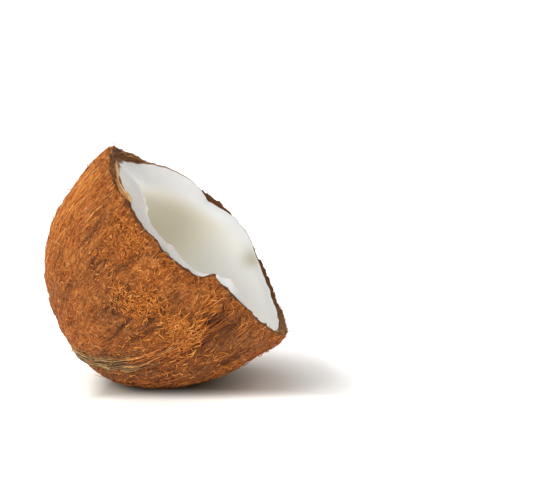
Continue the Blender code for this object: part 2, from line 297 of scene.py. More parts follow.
def make_lumps():
    """Places, sizes and heights of the low swellings of the fibre coat, drawn as for the solids."""
    draw = random.Random(SEED)
    lumps = []
    for _ in range(LUMPS):
        direction = draw.uniform(0, 360)
        polar = math.acos(draw.uniform(-0.08, 0.98))
        lumps.append((direction, polar, draw.uniform(0.16, 0.34), draw.uniform(-0.8, 1.0) * MM))
    return lumps


LUMP_LIST = make_lumps()


def pattern_place(angle, polar):
    """The coordinates of a point of the outside in the patterns: turns round the nut, and share up it."""
    return angle / (2 * math.pi), polar / PATTERN_REACH


def patches(seed, u, v, cells_u, cells_v):
    """Smooth random values from -1 to 1: random heights on a grid, eased between, closed round in u."""
    table = np.random.default_rng(seed).uniform(-1.0, 1.0, (cells_v + 2, cells_u))
    x = np.mod(u, 1.0) * cells_u
    y = np.clip(v, 0.0, 1.0) * cells_v
    column, row = np.floor(x).astype(int), np.floor(y).astype(int)
    ease_x, ease_y = x - column, y - row
    ease_x = ease_x * ease_x * (3.0 - 2.0 * ease_x)
    ease_y = ease_y * ease_y * (3.0 - 2.0 * ease_y)
    left, right = column % cells_u, (column + 1) % cells_u
    low = table[row, left] * (1 - ease_x) + table[row, right] * ease_x
    high = table[row + 1, left] * (1 - ease_x) + table[row + 1, right] * ease_x
    return low * (1 - ease_y) + high * ease_y


def creases(angle, polar):
    """Depth of the creases: for each, a bell across a line that wanders a little from end to end."""
    total = np.zeros(np.broadcast(angle, polar).shape)
    for start_polar, start, end_polar, end, depth, half_width in CREASES:
        share = (np.degrees(polar) - start_polar) / (end_polar - start_polar)
        middle = start + share * (end - start) + 1.2 * np.sin(7.0 * share)
        away = np.radians(turn_between(np.degrees(angle), middle)) * np.sin(polar) * MM_AROUND / half_width
        inside = (share > 0.0) & (share < 1.0)
        total += np.where(inside, MM * depth * np.sin(math.pi * share) * np.exp(-away * away), 0.0)
    return total


def off_ridges(angle, polar):
    """For each of the three ridges: how far a point is to the side of its course, in half widths."""
    found = []
    for course in RIDGE_COURSES:
        middle = np.interp(np.degrees(polar), *zip(*course))
        found.append(np.radians(turn_between(np.degrees(angle), middle)) * np.sin(polar) / RIDGE_HALF_WIDTH)
    return found


def coat_relief(angle, polar):
    """The relief that the solids have: ridges, strands from end to end, lumps and creases."""
    off_end = np.minimum(1.0, np.sin(polar) / 0.65)
    fall = 1.3 - 0.9 * np.sin(polar)
    total = np.zeros(np.broadcast(angle, polar).shape)
    for away in off_ridges(angle, polar):
        total += RIDGE_HEIGHT * np.exp(-away * away) * off_end * fall
        total -= RIDGE_SIDE_GROOVE * np.exp(-((np.abs(away) - 1.5) ** 2) * 4.0) * off_end * fall
    drift = 0.16 * np.sin(3.1 * polar + 2.0 * angle) + 0.05 * np.sin(9.0 * polar + angle)
    total += COAT_STRANDS * np.sin(23.0 * (angle + drift)) * off_end
    patch = np.sin(5.0 * polar + 3.0 * angle)
    total += COAT_CROSS_STRANDS * np.sin(34.0 * (angle - drift) + 1.3) * off_end * patch
    for direction, lump_polar, width, height in LUMP_LIST:
        sideways = np.radians(turn_between(np.degrees(angle), direction)) * np.sin(polar)
        total += height * np.exp(-(sideways**2 + (polar - lump_polar) ** 2) / width**2)
    return total - creases(angle, polar)


def banding(angle, polar):
    """The bands of coarse fibre: how strongly a point belongs to one, and stripes of 0 to 1 along it."""
    strength = np.zeros(np.broadcast(angle, polar).shape)
    stripes = np.zeros_like(strength)
    share = np.clip((67.0 - np.degrees(polar)) / 15.0, 0.0, 1.0) * np.minimum(1.0, np.sin(polar) / 0.2)
    for place, away in enumerate(off_ridges(angle, polar)):
        here = np.exp(-((away / 1.5) ** 4)) * share
        sideways = np.clip(away / 8.0 + 0.5, 0, 1)
        lines = 1.0 - np.abs(patches(47 + place, sideways, polar / PATTERN_REACH, 26, 9))
        strength = np.maximum(strength, here)
        stripes = np.maximum(stripes, here * lines**2)
    return strength, stripes


def fine_relief(angle, polar):
    """The matting on top of that: ridged random strands along the nut, knots, and grooves in the bands."""
    u, v = pattern_place(angle, polar)
    strength, stripes = banding(angle, polar)
    u = u + 0.006 * patches(31, u, v, 24, 9) + 0.0022 * patches(32, u, v, 70, 22)
    off_end = np.minimum(1.0, np.sin(polar) / 0.55)
    strands = 1.0 - 2.0 * np.abs(patches(33, u, v, 150, 14))
    thin_strands = 1.0 - 2.0 * np.abs(patches(34, u, v, 280, 38))
    knots = patches(35, u, v, 230, 76)
    matting = MATTING_STRANDS * strands + MATTING_THIN_STRANDS * thin_strands + MATTING_KNOTS * knots
    return off_end * (matting * (1.0 - 0.6 * strength) - BAND_GROOVES * strength * (1.0 - stripes))


def on_coat(angle, polar, lift):
    """Points at a height over the matted surface."""
    points = wall(angle, polar)
    height = coat_relief(angle, polar) + fine_relief(angle, polar) + lift
    return points + outward(points) * height[..., None]


def mesh_piece(name, points, faces, corner_uv, values=None):
    """An object at the origin from point and face arrays, with a UV pair for each face corner in turn."""
    mesh = bpy.data.meshes.new(name)
    mesh.vertices.add(len(points))
    mesh.vertices.foreach_set("co", np.ascontiguousarray(points, dtype=np.float32).ravel())
    corners = np.concatenate([f.ravel() for f in faces]).astype(np.int32)
    sizes = np.concatenate([np.full(len(f), f.shape[1]) for f in faces])
    mesh.loops.add(len(corners))
    mesh.loops.foreach_set("vertex_index", corners)
    mesh.polygons.add(len(sizes))
    starts = np.concatenate([[0], np.cumsum(sizes)[:-1]]).astype(np.int32)
    mesh.polygons.foreach_set("loop_start", starts)
    mesh.polygons.foreach_set("use_smooth", np.ones(len(sizes), dtype=bool))
    mesh.update(calc_edges=True)
    layer = mesh.uv_layers.new(name="OFBake")
    layer.uv.foreach_set("vector", np.ascontiguousarray(corner_uv, dtype=np.float32).ravel())
    for key, value in (values or {}).items():
        mesh.attributes.new(key, "FLOAT", "POINT").data.foreach_set("value", value.astype(np.float32))
    mesh.validate()
    piece = bpy.data.objects.new(name, mesh)
    bpy.context.scene.collection.objects.link(piece)
    return piece


def cell_corners(columns, rows, corners, cells):
    """UV pairs for faces in a grid of cells: each face's cell plus its corners, in shares of the grid."""
    base = np.stack(np.broadcast_arrays(columns, rows), axis=1)[:, None]
    return ((base + np.array(corners)) / np.array(cells)).reshape(-1, 2)


def ringed_surface(name, rings, values):
    """A closed skin over rings of points; the first and the last ring are single points, as on a globe.

    rings has the shape (rings, meridians, 3), and each array in values the shape (rings, meridians).
    """
    count, around = rings.shape[:2]
    points = np.concatenate([rings[0, :1], rings[1:-1].reshape(-1, 3), rings[-1, :1]])
    row, column = np.meshgrid(np.arange(count - 3), np.arange(around), indexing="ij")
    row, column = row.ravel(), column.ravel()
    here, after = row * around + column, row * around + (column + 1) % around
    quads = 1 + np.stack([here, after, after + around, here + around], axis=1)

    turn = np.arange(around)
    following = (turn + 1) % around
    last_row = 1 + (count - 3) * around
    first_fan = np.stack([np.zeros_like(turn), 1 + following, 1 + turn], axis=1)
    last_fan = np.stack([np.full_like(turn, len(points) - 1), last_row + turn, last_row + following], axis=1)
    cells = (around, count - 1)
    corner_uv = np.concatenate([
        cell_corners(column, row + 1, [(0, 0), (1, 0), (1, 1), (0, 1)], cells),
        cell_corners(turn, 0, [(0.5, 0), (1, 1), (0, 1)], cells),
        cell_corners(turn, count - 2, [(0.5, 1), (0, 0), (1, 0)], cells),
    ])
    flat = {key: np.concatenate([v[0, :1], v[1:-1].ravel(), v[-1, :1]]) for key, v in values.items()}
    return mesh_piece(name, points, [quads, first_fan, last_fan], corner_uv, flat)


def shell_edge(angle):
    """Height of the shell's broken edge: the table, the solids' unevenness and fine chips."""
    turn = angle / (2 * math.pi)
    chips = patches(41, turn, np.zeros_like(turn), 190, 1)
    splits = patches(42, turn, np.zeros_like(turn), 420, 1)
    base = between(SHELL_EDGE_HEIGHT, np.degrees(angle)) + EDGE_RAGGEDNESS * ragged(angle)
    return base + EDGE_CHIPS * chips + EDGE_SPLITS * splits


def darkness(angle, polar):
    """How dark the coat is, from 0 to about 1: a bell for each place in the table."""
    total = np.zeros(np.broadcast(angle, polar).shape)
    for direction, middle, width, strength in DARK_PLACES:
        sideways = np.radians(turn_between(np.degrees(angle), direction)) * np.sin(polar) * MM_AROUND
        along = np.radians(np.degrees(polar) - middle) * MM_UP
        total += strength * np.exp(-(sideways**2 + along**2) / width**2)
    return total


def dark_marks_and_crease_shade(angle, polar):
    """Where the coat is dark, from 0 to 1: dark places, painted shade along the creases, and thin lines that
    run up the nut.
    """
    u, v = pattern_place(angle, polar)
    spots = darkness(angle, polar) * (0.7 + 0.5 * patches(46, u, v, 160, 50))
    wander = 0.004 * patches(57, u, v, 20, 7)
    lines = np.clip(1.0 - np.abs(patches(58, u + wander, v, 110, 7)) / 0.13, 0.0, 1.0)
    right_side = 0.5 * bell(np.degrees(angle), 306, 26)
    lines = lines * np.clip(2.5 * patches(59, u, v, 26, 11) + right_side, 0.0, 1.0)
    lines = lines * np.minimum(1.0, np.sin(polar) / 0.5)
    # painted shade: darker along the creases of the relief
    return np.clip(creases(angle, polar) / 0.0018 + spots + lines, 0.0, 1.0)


def warmth_and_painted_light(angle, polar):
    """How warm the coat's colour is, from below 0 dull to 1 bright orange.

    Random zones, plus a bell of painted light on the high side, where the key light falls, and one along the
    rim, less the dark marks with their painted crease shade.
    """
    zone = 0.42 + 0.46 * patches(45, *pattern_place(angle, polar), 11, 6)
    # painted light: the high side warmer and brighter
    high_side = bell(np.degrees(angle), 208, 30) * np.clip(np.degrees(polar) / 60.0, 0.0, 1.0)
    by_rim = np.exp(-(((np.degrees(polar) - 92) / 16) ** 2))
    return np.clip(zone + 0.55 * high_side + 0.16 * by_rim - 1.1 * dark_marks_and_crease_shade(angle, polar), -0.9, 1.0)


def make_coat():
    """The outside, the broken edge and the inside of the shell as one skin.

    Rings run from the closed end up the outside with the relief, across the edge with a rough
    rounded profile, and back down the inside, which follows the nut's wall at the shell's thickness.
    """
    angle = 2 * math.pi * np.arange(COAT_MERIDIANS) / COAT_MERIDIANS
    height = shell_edge(angle)
    edge_polar = polar_at(height, END_DEPTH)
    polar = edge_polar[None, :] * np.linspace(0.0, 1.0, COAT_RINGS + 1)[:, None]
    turn = np.broadcast_to(angle, polar.shape)
    fine = fine_relief(turn, polar)
    smooth_wall = wall(turn, polar)
    outside = smooth_wall + outward(smooth_wall) * (coat_relief(turn, polar) + fine)[..., None]

    inner_polar = polar_at(height - 0.0003, END_DEPTH - SHELL_THICKNESS)
    inner_corner = wall(angle, inner_polar, SHELL_THICKNESS)
    across = np.linspace(0.0, 1.0, EDGE_RINGS + 2)[1:-1, None]
    edge = outside[-1] * (1 - across[..., None]) + inner_corner * across[..., None]
    edge_turn = np.broadcast_to(angle, (EDGE_RINGS, COAT_MERIDIANS)) / (2 * math.pi)
    grain = patches(43, edge_turn, np.broadcast_to(across, edge_turn.shape), 300, 6)
    steps = patches(44, edge_turn, np.broadcast_to(across, edge_turn.shape), 110, 3)
    edge[..., 2] += EDGE_CROWN * np.sin(math.pi * across) + EDGE_GRAIN * grain + EDGE_STEPS * steps

    inside_polars = [np.minimum(inner_polar, math.radians(a)) for a in COAT_INSIDE_DEGREES]
    inside = [inner_corner] + [wall(angle, p, SHELL_THICKNESS) for p in inside_polars]
    inside.append(wall(angle, np.zeros_like(angle), SHELL_THICKNESS))
    rings = np.concatenate([outside, edge, np.stack(inside)])

    strength, stripes = banding(turn, polar)
    by_rim = np.exp(-((np.degrees(edge_polar - polar) / 13) ** 2))
    by_rim = by_rim * (0.6 + 0.4 * patches(49, *pattern_place(turn, polar), 14, 9))
    pale = sum(share * bell(np.degrees(angle), middle, width) for middle, width, share in PALE_WOOD)
    bare = np.zeros((EDGE_RINGS + len(inside), COAT_MERIDIANS))
    within = np.ones((len(inside), COAT_MERIDIANS))
    layer = np.concatenate([0.5 + 0.5 * np.broadcast_to(across, edge_turn.shape), within])
    values = {
        # painted shade: on the coat, dark where the fine relief is low and light on its crests; on the edge,
        # random grain
        "painted_shade_and_grain": np.concatenate([0.5 + fine / 0.0009, 0.5 + 0.35 * grain, 0.5 * within]),
        "layer": np.concatenate([np.zeros_like(polar), layer]),
        "band": np.concatenate([strength, bare]),
        "stripe": np.concatenate([stripes, bare]),
        # dark marks, with painted shade in the creases
        "marks_and_crease_shade": np.concatenate([dark_marks_and_crease_shade(turn, polar), bare]),
        "curly": np.concatenate([by_rim, bare]),
        # the coat's warmth, with painted light on the high side
        "warm": np.concatenate([warmth_and_painted_light(turn, polar), bare + 0.5]),
        "pale_wood": np.broadcast_to(pale, rings.shape[:2]),
    }
    return ringed_surface("husk_coat", set_down(rings), values)


def make_flesh():
    """The white flesh as one skin: up along the shell, over the broken face, and down into the hollow.

    The face runs straight from the flesh's outer edge to the hollow's edge with a slight crown and
    fine unevenness. The hollow is a smaller egg, flared near its edge. Where the edge is worn round, the
    rings are averaged with their neighbours along each meridian. The stored values say where the brown
    skin is, and where the material paints shade: on some facets, in the dent, deep in the hollow and on its
    sheltered side.
    """
    angle = 2 * math.pi * np.arange(FLESH_MERIDIANS) / FLESH_MERIDIANS
    degrees = np.degrees(angle)
    turn = angle / (2 * math.pi)
    inset = SHELL_THICKNESS + LAYER_GAP
    crisp = 1000.0 * between(FLESH_CRISPNESS, degrees)
    zero = np.zeros_like(turn)

    outer_height = between(FLESH_EDGE_HEIGHT, degrees) + FLESH_RAGGEDNESS * ragged(angle)
    outer_height = outer_height + FLESH_NICKS * patches(51, turn, zero, 150, 1)
    outer_polar = polar_at(outer_height, END_DEPTH - inset)
    outside = [wall(angle, np.full_like(angle, math.radians(a)), inset) for a in (0, *FLESH_OUTSIDE_DEGREES)]
    outer_corner = wall(angle, outer_polar, inset)

    chips = HOLLOW_CHIPS * patches(52, turn, zero, 90, 1)
    chips = chips + HOLLOW_FINE_CHIPS * patches(53, turn, zero, 220, 1)
    inner_height = between(FLESH_HOLLOW_HEIGHT, degrees) - ROUNDING_DROP * (1.0 - crisp)
    inner_height = inner_height + crisp * (HOLLOW_RAGGEDNESS * ragged(angle, -7) + 0.6 * chips)
    edge_polar = polar_at(inner_height, HOLLOW_DEPTH)
    share = np.linspace(1.0, 0.0, HOLLOW_RINGS + 1)[:, None]
    radius, height = egg(edge_polar * share, HOLLOW_RADIUS, HOLLOW_DEPTH)
    below = height - inner_height
    flare = (between(FLESH_FLARE, degrees) + crisp * chips) * np.exp(below / FLARE_REACH)
    radius = radius + (flare + ROUNDING_WIDTH * (1.0 - crisp) * np.exp(below / ROUNDING_REACH)) * share
    dent = np.radians(turn_between(degrees, DENT_DIRECTION)) * 48.0
    dented = np.exp(-((dent / 4.5) ** 2) - ((height - DENT_HEIGHT) / 0.0045) ** 2)
    radius = radius + DENT_DEPTH * dented
    waves = patches(54, np.broadcast_to(turn, radius.shape), np.broadcast_to(share, radius.shape), 11, 5)
    radius = radius + HOLLOW_WAVES * waves * share
    hollow = np.stack([np.cos(angle) * radius, np.sin(angle) * radius, height], axis=-1)

    across = np.linspace(0.0, 1.0, FACE_RINGS + 1)[1:-1, None]
    face = outer_corner * (1 - across[..., None]) + hollow[0] * across[..., None]
    face_turn = np.broadcast_to(turn, (FACE_RINGS - 1, FLESH_MERIDIANS))
    across_all = np.broadcast_to(across, face_turn.shape)
    grain = patches(55, face_turn, across_all, 130, 7)
    facets = patches(56, face_turn, across_all, 46, 3)
    crown = FACE_CRISP_CROWN * crisp + FACE_CROWN
    rough = (FACE_GRAIN * grain + FACE_FACETS * facets) * (0.25 + 0.75 * crisp)
    face[..., 2] += np.sin(math.pi * across) * crown + rough

    rings = np.concatenate([np.stack(outside), outer_corner[None], face, hollow])
    first, last = len(outside) + 2, len(outside) + FACE_RINGS + WORN_HOLLOW_RINGS
    before, here, after = (slice(first + shift, last + shift) for shift in (-1, 0, 1))
    worn = rings.copy()
    width = np.linalg.norm(outer_corner - hollow[0], axis=1) / 0.008 + 0.6 * dented[0]
    ease = np.clip(width, 0.0, 1.0)[None, :, None] ** 2 / 3
    for _ in range(WEARING_PASSES):
        worn[here] += ease * (worn[before] + worn[after] - 2 * worn[here])
    softness = (1 - crisp)[None, :, None]
    rings = rings * (1 - softness) + worn * softness
    for _ in range(2):
        rings[here] = (rings[before] + 2 * rings[here] + rings[after]) / 4

    at_dent = round(DENT_DIRECTION / 360.0 * FLESH_MERIDIANS)
    dent_centre = 0.65 * hollow[0, at_dent] + 0.35 * outer_corner[at_dent]
    by_shell = np.ones((len(outside) + 1, FLESH_MERIDIANS))
    inwards = np.concatenate([0 * by_shell, across_all, np.ones_like(radius)])
    stain = bell(degrees, 188, 19, 4) * (0.23 + 0.04 * patches(60, turn, zero, 90, 1))
    stain = stain + 0.05 * bell(degrees, 160, 20)
    brown_rim = np.clip(3.5 - 3.0 * across_all / (0.05 + stain), 0.0, 1.0)
    # painted shadow: beige on the side of the hollow under the high side; tip_light takes it off near the
    # high side's edge
    painted_hollow_shadow = 1.0 / (1.0 + np.exp((94.0 - degrees) / 8.0)) / (1.0 + np.exp((degrees - 250.0) / 10.0))
    painted_hollow_shadow = painted_hollow_shadow * (1.0 - 0.16 * np.clip((degrees - 115.0) / 40.0, 0.0, 1.0))
    down = inner_height - rings[..., 2]
    tip_light = 0.85 * bell(degrees, 165, 45) * (1.0 - np.clip(down / 0.007, 0.0, 1.0))
    # painted shade: greyer on some facets of the broken face
    painted_facet_shade = [share * bell(degrees, middle, wide, power) for middle, wide, power, share in PAINTED_SHADE_FACETS]
    values = {
        "inwards": inwards,
        # painted shade: beige deeper in the hollow
        "depth": np.clip(down / 0.05, 0.0, 1.0) * (inwards > 0.99),
        "skin": np.concatenate([by_shell, brown_rim, np.zeros_like(radius)]),
        # where the dent is, which the material paints with shade
        "dented": np.exp(-((np.linalg.norm(rings - dent_centre, axis=2) / 0.0048) ** 2)),
        "painted_hollow_shadow": painted_hollow_shadow * (1.0 - tip_light),
        "painted_facet_shade": np.broadcast_to(sum(painted_facet_shade), rings.shape[:2]),
    }
    return ringed_surface("white_flesh", set_down(rings), values)


def tubes(name, paths, normals, radii, tones, sides=3, flatness=1.0):
    """Thin closed strands, all in one mesh.

    paths and normals have the shape (strands, steps, 3), radii (strands, steps). Each ring of a strand
    is a small regular polygon across its path, pressed flat by the flatness, and a cap closes either
    end. In the UV map, u holds the strand's tone and v its length from root to tip.
    """
    count, steps = paths.shape[:2]
    along = np.gradient(paths, axis=1)
    along /= np.linalg.norm(along, axis=2, keepdims=True) + 1e-12
    side = np.cross(along, normals)
    side /= np.linalg.norm(side, axis=2, keepdims=True) + 1e-12
    up = np.cross(side, along)
    corner = 2 * math.pi * np.arange(sides) / sides + math.pi / 2
    ring = side[:, :, None] * np.cos(corner)[:, None] + up[:, :, None] * (flatness * np.sin(corner))[:, None]
    points = paths[:, :, None] + ring * radii[:, :, None, None]
    base = (np.arange(count) * steps * sides)[:, None, None]
    step = base + (np.arange(steps - 1) * sides)[None, :, None]
    here = np.arange(sides)[None, None, :]
    after = (here + 1) % sides
    quads = np.stack([step + here, step + after, step + sides + after, step + sides + here], axis=-1)
    low = np.arange(sides)[::-1][None] + base[:, :, 0]
    high = np.arange(sides)[None] + base[:, :, 0] + (steps - 1) * sides
    tone = np.clip(tones, 0.0, 1.0 - 1.5 * TONE_WIDTH)
    u = np.broadcast_to(tone[:, None, None] + TONE_WIDTH * here / sides, (count, steps - 1, sides))
    v = np.broadcast_to((np.arange(steps - 1) / (steps - 1))[None, :, None], u.shape)
    du, dv = TONE_WIDTH / sides, 1 / (steps - 1)
    quad_uv = np.stack([u, v, u + du, v, u + du, v + dv, u, v + dv], axis=-1)
    fan_u = np.cos(corner) * 0.004 + 0.005
    fan_v = np.broadcast_to(np.sin(corner) * 0.004 + 0.005, (count, sides))
    low_uv = np.stack([tone[:, None] + fan_u[::-1], fan_v[:, ::-1]], -1)
    high_uv = np.stack([tone[:, None] + fan_u, 0.99 - fan_v], -1)
    corner_uv = np.concatenate([quad_uv.reshape(-1, 2), low_uv.reshape(-1, 2), high_uv.reshape(-1, 2)])
    return mesh_piece(name, points.reshape(-1, 3), [quads.reshape(-1, 4), low, high], corner_uv)


def ring_radius(polar):
    """Radius of the plain egg at a polar angle, kept away from 0 at the closed end."""
    return np.maximum(egg(polar, RIM_RADIUS, END_DEPTH)[0], 0.004)


def walk(rng, angle, polar, heading, length, steps, bend, wiggle):
    """Paths over the nut from given roots.

    A path starts with a heading, 0 being straight up the nut, and turns as it goes: by its bend over
    the whole length, and by a random amount at each step. Returns direction and polar angle at each step.
    """
    angles, polars = [angle], [polar]
    stride = length / (steps - 1)
    for _ in range(steps - 1):
        heading = heading + bend / (steps - 1) + rng.normal(0.0, 1.0, len(angle)) * wiggle
        around = ring_radius(polars[-1])
        per_polar = np.hypot(RIM_RADIUS * np.cos(polars[-1]), END_DEPTH * np.sin(polars[-1]))
        polars.append(polars[-1] + np.cos(heading) * stride / per_polar)
        angles.append(angles[-1] + np.sin(heading) * stride / around)
    return np.stack(angles, axis=1), np.abs(np.stack(polars, axis=1))


def lay_strands(name, angles, polars, lift, radius, tones, over=0.0):
    """Strands that follow the coat along given paths, at a height over it that lift gives for each step.

    Strands that would pass the broken edge by more than a little, or lie under the half, are left out.
    """
    edge = polar_at(between(SHELL_EDGE_HEIGHT, np.degrees(angles)), END_DEPTH)
    upright = on_coat(angles, polars, lift)
    placed = set_down(upright, pressed=False)
    inside = (polars < edge + over).all(axis=1) & (placed[..., 2].min(axis=1) > STRAND_CLEARANCE)
    normals = set_down(upright + outward(upright) * 0.01, pressed=False) - placed
    taper = np.sin(np.linspace(0.35, math.pi - 0.25, angles.shape[1])) ** 0.6
    radii = radius[:, None] * taper[None, :]
    return tubes(name, placed[inside], normals[inside], radii[inside], tones[inside])


def scattered(rng, count, low_polar=3.0, high_polar=100.0):
    """Roots spread evenly over the outside: even directions, and polar angles that favour the wide rings."""
    angle = rng.uniform(0.0, 2 * math.pi, count)
    low, high = math.cos(math.radians(high_polar)), math.cos(math.radians(low_polar))
    return angle, np.arccos(rng.uniform(low, high, count))


def arch(steps, start=0.0, end=math.pi):
    """A strand's height along its length: half a sine wave, low at both ends."""
    return np.sin(np.linspace(start, end, steps))[None, :]


def lifted(rng, low, high, count, course):
    """Heights over the coat in metres: for each strand a random factor in mm times the given course."""
    return rng.uniform(low, high, count)[:, None] * MM * course


def make_matting():
    """Short strands that cover the coat: mostly along the nut, some askew, low and half sunk in it."""
    pieces = []
    for index in range(3):
        rng = np.random.default_rng(70 + index)
        count = 6200
        angle, polar = scattered(rng, count)
        askew = np.where(rng.uniform(size=count) < 0.65, 0.4, 1.4)
        heading = rng.normal(0.0, 1.0, count) * askew + rng.choice([0.0, math.pi], count)
        length = rng.uniform(0.0010, 0.0032, count)
        lift = lifted(rng, 0.0, 0.15, count, arch(6)) - 0.06 * MM
        radius = rng.uniform(0.00008, 0.00017, count)
        # tones follow the coat's warmth, with its painted light on the high side
        tones = np.clip(0.25 + 0.33 * warmth_and_painted_light(angle, polar) + rng.normal(0.0, 0.19, count), 0.02, 0.9)
        angles, polars = walk(rng, angle, polar, heading, length, 6, rng.normal(0.0, 1.1, count), 0.2)
        pieces.append(lay_strands(f"matting_{index + 1}", angles, polars, lift, radius, tones))
    return pieces


def make_long_strands():
    """Long thin strands that run up the nut, lifted a little off the coat along their middle."""
    rng = np.random.default_rng(81)
    count = 2600
    angle, polar = scattered(rng, count, 5.0, 92.0)
    high_side = rng.uniform(size=count) < 0.22
    angle = np.where(high_side, np.radians(rng.normal(211.0, 9.0, count)), angle)
    polar = np.where(high_side, np.radians(rng.uniform(45.0, 82.0, count)), polar)
    heading = rng.normal(0.0, 0.12, count)
    length = rng.uniform(0.006, 0.018, count)
    lift = lifted(rng, 0.0, 0.16, count, arch(9))
    radius = rng.uniform(0.00006, 0.00013, count)
    # tones follow the coat's warmth, with its painted light on the high side
    tones = np.clip(0.3 + 0.38 * warmth_and_painted_light(angle, polar) + rng.normal(0.0, 0.16, count), 0.02, 0.95)
    angles, polars = walk(rng, angle, polar, heading, length, 9, rng.normal(0.0, 0.25, count), 0.05)
    return lay_strands("long_strands", angles, polars, lift, radius, tones)


def make_tufts():
    """Bright loose strands in tufts: where the table says, and by chance on the hidden side.

    A few strands are also scattered singly over the side that shows.
    """
    rng = np.random.default_rng(91)
    table = list(TUFTS)
    for _ in range(40):
        direction, polar = rng.uniform(-25.0, 200.0), rng.uniform(18.0, 92.0)
        if rng.uniform() < 0.7:
            table.append((direction, polar, rng.uniform(2.5, 6.0), 34, rng.uniform(2.2, 3.8), 1.0, 1.9))
        else:
            table.append((direction, polar, rng.uniform(2.5, 5.0), 12, rng.uniform(4.0, 7.0), 0.12, 0.35))
    for _ in range(30):
        place = (rng.uniform(200.0, 335.0), rng.uniform(25.0, 90.0))
        table.append((*place, rng.uniform(1.5, 4.0), 4, rng.uniform(1.6, 3.0), 0.8, 1.6))
    numbers = np.array([2 * row[3] for row in table])
    row = np.repeat(np.array([[r[0], r[1], r[2], r[4], r[5], r[6]] for r in table]), numbers, axis=0)
    count = len(row)
    polar = np.radians(row[:, 1]) + rng.normal(0.0, MM, count) * row[:, 2] / (MM * MM_UP)
    angle = np.radians(row[:, 0]) + rng.normal(0.0, MM, count) * row[:, 2] / ring_radius(polar)
    heading = rng.normal(0.0, 1.0, count) * row[:, 4]
    length = row[:, 3] * rng.uniform(0.55, 1.35, count) * MM
    lift = lifted(rng, 0.1, 0.85, count, arch(8, 0.05, 3.0))
    radius = rng.uniform(0.00012, 0.00028, count)
    placed = np.repeat(np.arange(len(table)) < len(TUFTS), numbers)
    tones = np.clip(rng.normal(0.45, 0.2, count) + 0.13 * placed, 0.05, 0.95)
    bend = rng.normal(0.0, 1.0, count) * row[:, 5]
    angles, polars = walk(rng, angle, polar, heading, length, 8, bend, 0.2)
    return lay_strands("tufts", angles, polars, lift, radius, tones)


def sheaf(name, seed, per_ridge, starts, lengths, tone):
    """Straight strands laid side by side along the courses of the three ridges."""
    rng = np.random.default_rng(seed)
    steps = 12
    pieces = []
    for course in RIDGE_COURSES:
        start = rng.uniform(*starts, per_ridge)[:, None]
        polar = start + rng.uniform(*lengths, per_ridge)[:, None] * np.linspace(0.0, 1.0, steps)[None, :]
        offset = rng.normal(0.0, 0.75, per_ridge)[:, None]
        offset = offset + rng.normal(0.0, 0.16, per_ridge)[:, None] * arch(steps)
        ring_sine = np.maximum(np.sin(np.radians(polar)), 0.12)
        angles = np.radians(np.interp(polar, *zip(*course))) + offset * RIDGE_HALF_WIDTH / ring_sine
        pieces.append((angles, np.radians(polar)))
    angles, polars = (np.concatenate(part) for part in zip(*pieces))
    count = len(angles)
    lift = lifted(rng, 0.0, 0.4, count, arch(steps)) - 0.1 * MM
    radius = rng.uniform(0.00009, 0.00022, count)
    dark = rng.uniform(size=count) < 0.35
    tones = np.where(dark, rng.uniform(0.0, 0.14, count), rng.normal(tone, 0.22, count))
    return lay_strands(name, angles, polars, lift, radius, np.clip(tones, 0.0, 0.97))


def make_stray_hairs():
    """Single hairs that stand off the coat and droop: their height grows from root to tip."""
    rng = np.random.default_rng(111)
    count = 460
    angle, polar = scattered(rng, count, 10.0, 96.0)
    heading = rng.normal(0.0, 1.2, count)
    length = rng.uniform(0.002, 0.007, count)
    lift = lifted(rng, 0.3, 2.3, count, np.linspace(0.0, 1.0, 8)[None, :] ** 1.3)
    radius = rng.uniform(0.00009, 0.00016, count)
    tones = np.clip(rng.normal(0.5, 0.2, count), 0.1, 0.97)
    angles, polars = walk(rng, angle, polar, heading, length, 8, rng.normal(0.0, 1.2, count), 0.16)
    return lay_strands("stray_hairs", angles, polars, lift, radius, tones, over=0.05)


def make_fringe():
    """Short frayed ends along the broken edge of the fibre coat, pointing up past it a little."""
    rng = np.random.default_rng(121)
    count = 2100
    angle = rng.uniform(0.0, 2 * math.pi, count)
    edge = polar_at(between(SHELL_EDGE_HEIGHT, np.degrees(angle)), END_DEPTH)
    polar = edge - rng.uniform(0.005, 0.06, count)
    heading = rng.normal(0.0, 0.8, count)
    length = rng.uniform(0.0012, 0.0036, count)
    lift = lifted(rng, 0.0, 0.3, count, np.ones((1, 6)))
    radius = rng.uniform(0.00008, 0.00017, count)
    tones = np.clip(rng.normal(0.55, 0.18, count), 0.05, 0.95)
    angles, polars = walk(rng, angle, polar, heading, length, 6, rng.normal(0.0, 0.8, count), 0.14)
    return lay_strands("edge_fringe", angles, polars, lift, radius, tones, over=0.014)


